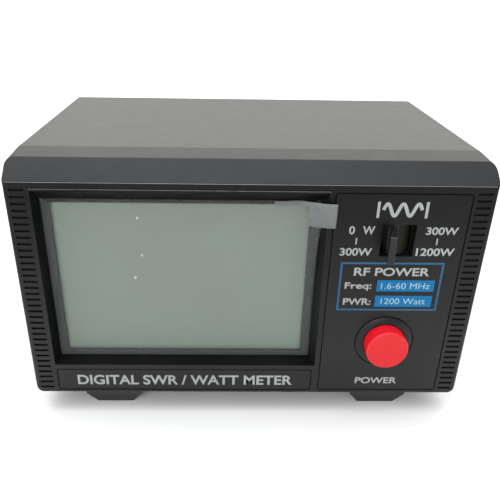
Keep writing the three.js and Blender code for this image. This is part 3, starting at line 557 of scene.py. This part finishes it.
def screws():
    mesh = screw_mesh(HEAD_R, HEAD_T)
    turns = {
        "-y": Matrix.Identity(4),
        "+y": Matrix.Rotation(math.pi, 4, "Z"),
        "-x": Matrix.Rotation(-math.pi / 2, 4, "Z"),
        "+x": Matrix.Rotation(math.pi / 2, 4, "Z"),
        "-z": Matrix.Rotation(math.pi / 2, 4, "X"),
    }
    spots = []
    for side, facing in (("left", "-x"), ("right", "+x")):
        spots += [(f"cover_screw_{side}_{end}", facing) for end in ("front", "rear")]
        spots += [(f"bezel_screw_{side}", "-z"), (f"foot_screw_front_{side}", "-z")]
        spots += [(f"foot_screw_rear_{side}", "-z")]
    for socket in ("transmitter", "antenna"):
        spots += [(f"{socket}_socket_screw_{i}", "+y") for i in range(1, 5)]
    for i, (node, facing) in enumerate(spots):
        low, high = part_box(node)
        seat = middle(node)
        head = HEAD_T * MM
        axis = "xyz".index(facing[1])
        seat[axis] = high[axis] - head if facing[0] == "+" else low[axis] + head
        obj = link(node + "_head", mesh.copy())
        spin = Matrix.Rotation(math.radians(SPIN * i), 4, "Y")
        obj.data.transform(Matrix.Translation(seat) @ turns[facing] @ spin)
        place(obj, node)


screws()


# ---- Rear sockets and supply jack ----------------------------------------------------------

def plate_with_holes(name, outline, holes, front, thickness):
    """A plate across Y between outlines of (x, z) metres."""
    bm = bmesh.new()
    edges = []
    for ring in (outline, *holes):
        verts = [bm.verts.new((x, front, z)) for x, z in ring]
        edges += [bm.edges.new((a, b)) for a, b in zip(verts, verts[1:] + verts[:1])]
    bmesh.ops.triangle_fill(bm, use_beauty=True, use_dissolve=False, edges=edges)
    made = bmesh.ops.extrude_face_region(bm, geom=bm.faces[:])
    moved = [g for g in made["geom"] if isinstance(g, bmesh.types.BMVert)]
    bmesh.ops.translate(bm, vec=(0, thickness, 0), verts=moved)
    bmesh.ops.recalc_face_normals(bm, faces=bm.faces)
    mesh = bpy.data.meshes.new(name)
    bm.to_mesh(mesh)
    bm.free()
    return link(name, mesh)


def circle(x, z, radius, sides=40):
    return [(x + radius * math.cos(2 * math.pi * i / sides), z + radius * math.sin(2 * math.pi * i / sides))
            for i in range(sides)]


def rounded_square(x, z, half, radius, steps=6):
    out = []
    for quarter, (sx, sz) in enumerate(((1, 1), (-1, 1), (-1, -1), (1, -1))):
        for i in range(steps + 1):
            a = math.pi / 2 * (quarter + i / steps)
            out.append((x + sx * (half - radius) + radius * math.cos(a),
                        z + sz * (half - radius) + radius * math.sin(a)))
    return out


def socket(kind):
    """A square-flanged coaxial socket with a threaded, notched barrel."""
    shell, insulator, contact = (f"{kind}_socket_{part}" for part in ("shell", "insulator", "contact"))
    low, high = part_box(shell)
    x, z = middle(shell).x, middle(shell).z
    flange_half = (high.x - low.x) / 2
    flange_rear = REAR_Y + 0.0003
    flange_t = 0.002
    holes = [circle(x, z, 0.0074)]
    for i in range(1, 5):
        spot = middle(f"{kind}_socket_screw_{i}")
        holes.append(circle(spot.x, spot.z, 0.0018, 24))
    flange = plate_with_holes(f"{kind}_flange", rounded_square(x, z, flange_half, 0.0012), holes,
                              flange_rear, flange_t)
    smooth(flange.data, 35)
    place(flange, shell)
    start, end = flange_t / MM, (high.y - flange_rear) / MM
    crest, root, bore, pitch = 7.95, 7.42, 6.3, 1.06
    outer = [(crest + 0.25, start - 0.6), (crest + 0.25, start + 0.7), (root, start + 1.1)]
    turns = int((end - start - 2.4) / pitch)
    for i in range(turns):
        h = start + 1.5 + i * pitch
        outer += [(root, h), (crest, h + pitch * 0.38), (crest, h + pitch * 0.52), (root, h + pitch * 0.9)]
    outer += [(root + 0.1, end - 0.35), (root - 0.2, end)]
    outer += [(bore + 0.15, end), (bore, end - 0.3), (bore, start - 0.6)]
    centre = Vector((x, flange_rear, z))
    place(spun(f"{kind}_barrel", outer, centre, 96, notches=6), shell)
    face = (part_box(insulator)[1].y - flange_rear) / MM
    ring = [(3.5, start), (3.5, face - 1.6), (4.1, face - 1.6), (4.4, face - 0.3)]
    ring += [(4.7, face), (6.0, face), (6.2, face - 0.3), (6.2, start)]
    place(spun(f"{kind}_insulator", ring, centre), insulator)
    tip = (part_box(contact)[1].y - flange_rear) / MM
    tube = [(0, tip - 12), (1.95, tip - 12), (1.95, tip - 0.5), (2.3, tip)]
    tube += [(2.75, tip), (3.05, tip - 0.5), (3.05, start)]
    place(spun(f"{kind}_contact", tube, centre, closed=False, notches=4), contact)


def supply_jack():
    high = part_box("supply_jack")[1]
    mid = middle("supply_jack")
    start = (REAR_Y - high.y) / MM
    body = [(3.9, start), (3.9, -0.5), (3.6, 0), (3.1, 0), (2.8, -0.4), (2.8, -9)]
    centre = Vector((mid.x, high.y, mid.z))
    place(spun("supply_jack_barrel", body, centre, closed=False), "supply_jack")
    pin = [(1.05, -9), (1.05, -1.2), (0.7, -0.7), (0, -0.6)]
    place(spun("supply_jack_pin", pin, centre, 32, closed=False), "supply_jack", look="steel")
    floor = [(2.8, -9), (0, -9)]
    place(spun("supply_jack_floor", floor, centre, 32, closed=False), "supply_jack")


socket("transmitter")
socket("antenna")
supply_jack()


# ---- Protective film -----------------------------------------------------------------------

def ease(value, low, high):
    t = min(max((value - low) / (high - low), 0), 1)
    return t * t * (3 - 2 * t)


FILM_BOX = (-67.4, 21.9, 14.4, 74.4)  # left, right, low and top in mm
TAB_END = 26.5  # mm right of centre
TAB_LOW = 67.5  # mm above the case's underside
FILM_Y = 3.85  # mm behind the face, where the film lies flat
FILM_LIFT = 6.75  # mm that the tab's corner comes forward


def film_point(x, z, flat_top):
    """The film lies flat except at its top right, where it lifts off and curls forward into the tab."""
    lift = ease(x, 6, 26.6) * ease(z, 48, 71)
    rise = (1.1 * ease(lift, 0, 0.45) + 0.3 * lift) * ease(z, TAB_LOW, flat_top)
    return at(x, FILM_Y - FILM_LIFT * lift, z + rise)


def screen_film():
    """One sheet with its tab, in a grid that is finer where it lifts."""
    left, right, low, top = FILM_BOX
    xs = [left, -40, -20, -5] + [5 + i * (right - 5) / 22 for i in range(23)]
    xs += [right + (TAB_END - right) * i / 6 for i in range(1, 7)]
    zs = [low, 30] + [44 + i * (TAB_LOW - 44) / 14 for i in range(15)]
    zs += [TAB_LOW + i * (top - TAB_LOW) / 9 for i in range(1, 10)]
    bm = bmesh.new()
    grid = {(i, j): bm.verts.new(film_point(x, z, top)) for i, x in enumerate(xs) for j, z in enumerate(zs)}
    for i in range(len(xs) - 1):
        for j in range(len(zs) - 1):
            below_tab = xs[i] >= right - 0.01 and zs[j] < TAB_LOW - 0.1
            if below_tab:
                continue
            face = bm.faces.new((grid[i, j], grid[i + 1, j], grid[i + 1, j + 1], grid[i, j + 1]))
            in_tab = xs[i] > 17.6 and zs[j] > TAB_LOW - 0.1
            over_frame = zs[j] > 72.6 and xs[i] > 7
            face.material_index = 1 if in_tab or over_frame else 0
    loose = [v for v in bm.verts if not v.link_faces]
    bmesh.ops.delete(bm, geom=loose, context="VERTS")
    mesh = bpy.data.meshes.new("screen_film_finished")
    bm.to_mesh(mesh)
    bm.free()
    mesh.shade_smooth()
    looks = [face.material_index for face in mesh.polygons]
    obj = place(link("screen_film_finished", mesh), "screen_film", "clear_film")
    mesh.materials.append(MATERIALS["tab_film"])
    mesh.materials.append(MATERIALS["film_edge"])
    mesh.polygons.foreach_set("material_index", looks)
    thick = obj.modifiers.new("thickness", "SOLIDIFY")
    thick.thickness = 0.00012
    thick.offset = 0
    thick.material_offset_rim = 1


screen_film()


# ---- Printed markings ----------------------------------------------------------------------

PRINT_T = 0.00004  # thickness of the ink
TEXT_RAISE = 0.02  # millimetres that the ink stands clear of the plate
TEXT_BOLD = 0.022  # how much a letter's strokes are thickened
FINE_BOLD = 0


def label(name, text, box, look="print_white", depth=0.0, rear=False, bold=TEXT_BOLD):
    """Text fitted to box = (x0, x1, z0, z1) in millimetres on the front face, or on the rear wall."""
    curve = bpy.data.curves.new(name, "FONT")
    curve.body = text
    curve.offset = bold
    curve.extrude = 0.5
    source = link(name + "_source", curve)
    bpy.context.view_layer.update()
    mesh = bpy.data.meshes.new_from_object(source.evaluated_get(bpy.context.evaluated_depsgraph_get()))
    bpy.data.objects.remove(source)
    xs = [v.co.x for v in mesh.vertices]
    ys = [v.co.y for v in mesh.vertices]
    low = at(box[0], depth - TEXT_RAISE, box[2])
    high = at(box[1], depth - TEXT_RAISE, box[3])
    outward = -PRINT_T
    if rear:
        low.x, high.x = high.x, low.x
        low.y = REAR_Y + TEXT_RAISE * MM
        outward = PRINT_T
    for v in mesh.vertices:
        u = (v.co.x - min(xs)) / (max(xs) - min(xs))
        w = (v.co.y - min(ys)) / (max(ys) - min(ys))
        x = low.x + u * (high.x - low.x)
        z = low.z + w * (high.z - low.z)
        v.co = Vector((x, low.y + (outward if v.co.z > 0 else 0), z))
    obj = link(name, mesh)
    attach(obj, "root")
    return paint(obj, look)


def patch(name, outline, look, depth=0.0, holes=()):
    """A thin printed patch inside an outline of (x, z) millimetres, less any inner outlines."""
    mesh = bpy.data.meshes.new(name)
    bm = bmesh.new()
    front = at(0, depth - TEXT_RAISE, 0).y - PRINT_T
    loops = []
    for ring in (outline, *holes):
        verts = [bm.verts.new(at(x, 0, z)) for x, z in ring]
        for v in verts:
            v.co.y = front
        loops.append([bm.edges.new((a, b)) for a, b in zip(verts, verts[1:] + verts[:1])])
    edges = [e for loop in loops for e in loop]
    bmesh.ops.triangle_fill(bm, use_beauty=True, use_dissolve=False, edges=edges)
    made = bmesh.ops.extrude_face_region(bm, geom=bm.faces[:])
    moved = [g for g in made["geom"] if isinstance(g, bmesh.types.BMVert)]
    bmesh.ops.translate(bm, vec=(0, PRINT_T, 0), verts=moved)
    bmesh.ops.recalc_face_normals(bm, faces=bm.faces)
    bm.to_mesh(mesh)
    bm.free()
    obj = link(name, mesh)
    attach(obj, "root")
    return paint(obj, look)


def rect(x0, x1, z0, z1):
    return [(x0, z0), (x1, z0), (x1, z1), (x0, z1)]


def wave_mark():
    """A plain sine wave between two short bars: a generic sign for radio power."""
    x0, x1, z0, z1 = 39.6, 56.0, 70.4, 75.9
    mid, swing, thick = (z0 + z1) / 2, (z1 - z0) / 2 - 0.7, 0.55
    steps = 60
    upper, lower = [], []
    for i in range(steps + 1):
        t = i / steps
        a = 5 * math.pi * t
        slope = math.cos(a) * swing * 5 * math.pi / (x1 - x0 - 4)
        lean = math.hypot(1, slope)
        x = x0 + 2 + t * (x1 - x0 - 4)
        z = mid + swing * math.sin(a)
        upper.append((x - thick * slope / lean, z + thick / lean))
        lower.append((x + thick * slope / lean, z - thick / lean))
    patch("wave_mark", upper + lower[::-1], "print_white")
    patch("wave_mark_left_bar", rect(x0, x0 + 0.9, z0, z1), "print_white")
    patch("wave_mark_right_bar", rect(x1 - 0.9, x1, z0, z1), "print_white")


def front_printing():
    wave_mark()
    label("mark_0", "0", (31.4, 33.3, 64.6, 67.5))
    label("mark_0_unit", "W", (35.8, 39.8, 64.6, 67.5))
    label("mark_300_low", "300W", (29.1, 39.7, 56.9, 59.7))
    label("mark_300_high", "300W", (56.4, 66.9, 64.6, 67.3))
    label("mark_1200", "1200W", (54.2, 66.9, 57.0, 59.8))
    patch("tick_left", rect(33.9, 34.35, 61.0, 63.3), "print_white")
    patch("tick_right", rect(60.3, 60.75, 61.0, 63.3), "print_white")
    frame_outer, frame_inner = rect(29.9, 64.5, 35.9, 54.5), rect(30.6, 63.8, 36.6, 53.8)
    patch("blue_frame", frame_outer, "print_light_blue", holes=[frame_inner])
    label("title", "RF POWER", (34.6, 60.0, 49.4, 52.5))
    label("frequency", "Freq:", (32.0, 41.1, 43.7, 46.9))
    label("power_range", "PWR:", (32.0, 41.5, 38.1, 40.7))
    patch("frequency_bar", rect(42.9, 62.4, 43.5, 47.8), "print_blue")
    patch("power_bar", rect(42.9, 62.4, 37.4, 41.8), "print_blue")
    over = -PRINT_T / MM - TEXT_RAISE
    label("frequency_value", "1.6-60 MHz", (44.3, 60.9, 44.5, 46.8), "print_pale", depth=over, bold=FINE_BOLD)
    label("power_value", "1200 Watt", (44.9, 60.2, 38.5, 40.8), "print_pale", depth=over, bold=FINE_BOLD)
    label("power_word", "POWER", (39.7, 55.1, 4.4, 7.2))
    label("strip_words", "DIGITAL SWR / WATT METER", (-61.9, 16.5, 3.5, 7.8))


def rear_printing():
    for text, node in (("TX", "transmitter_socket_shell"), ("ANT", "antenna_socket_shell")):
        x, z = middle(node).x / MM, (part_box(node)[1].z - BASE_Z) / MM + 3.2
        half = 1.9 * len(text)
        label("rear_mark_" + text, text, (x - half, x + half, z, z + 4.2), rear=True)
    jack = middle("supply_jack")
    x, z = jack.x / MM, (jack.z - BASE_Z) / MM + 9.5
    label("rear_mark_supply", "DC 13.8V", (x - 9, x + 9, z, z + 3), rear=True)


front_printing()
rear_printing()


# x, z and size in mm
SPECKS = ((-37, 68, 0.6), (-36.2, 54.6, 0.6), (-39, 46.2, 0.7), (-12, 60, 0.3), (3, 34, 0.25))


def dust():
    """A few specks that lie on the protective film."""
    for i, (x, z, size) in enumerate(SPECKS):
        speck = [(x + size * math.cos(a) * (0.6 + 0.4 * math.sin(2.3 * k + i)), z + size * math.sin(a) * 0.8)
                 for k, a in enumerate(math.radians(40 * n) for n in range(9))]
        patch(f"dust_{i}", speck, "dust", depth=3.75)


dust()
# A black strip over the top of the display frame: painted shade under the recess's top rim.
patch("display_top_painted_shade", rect(-66.6, 21.1, 73.05, 74.6), "recess_painted_shade", depth=RECESS_DEPTH)
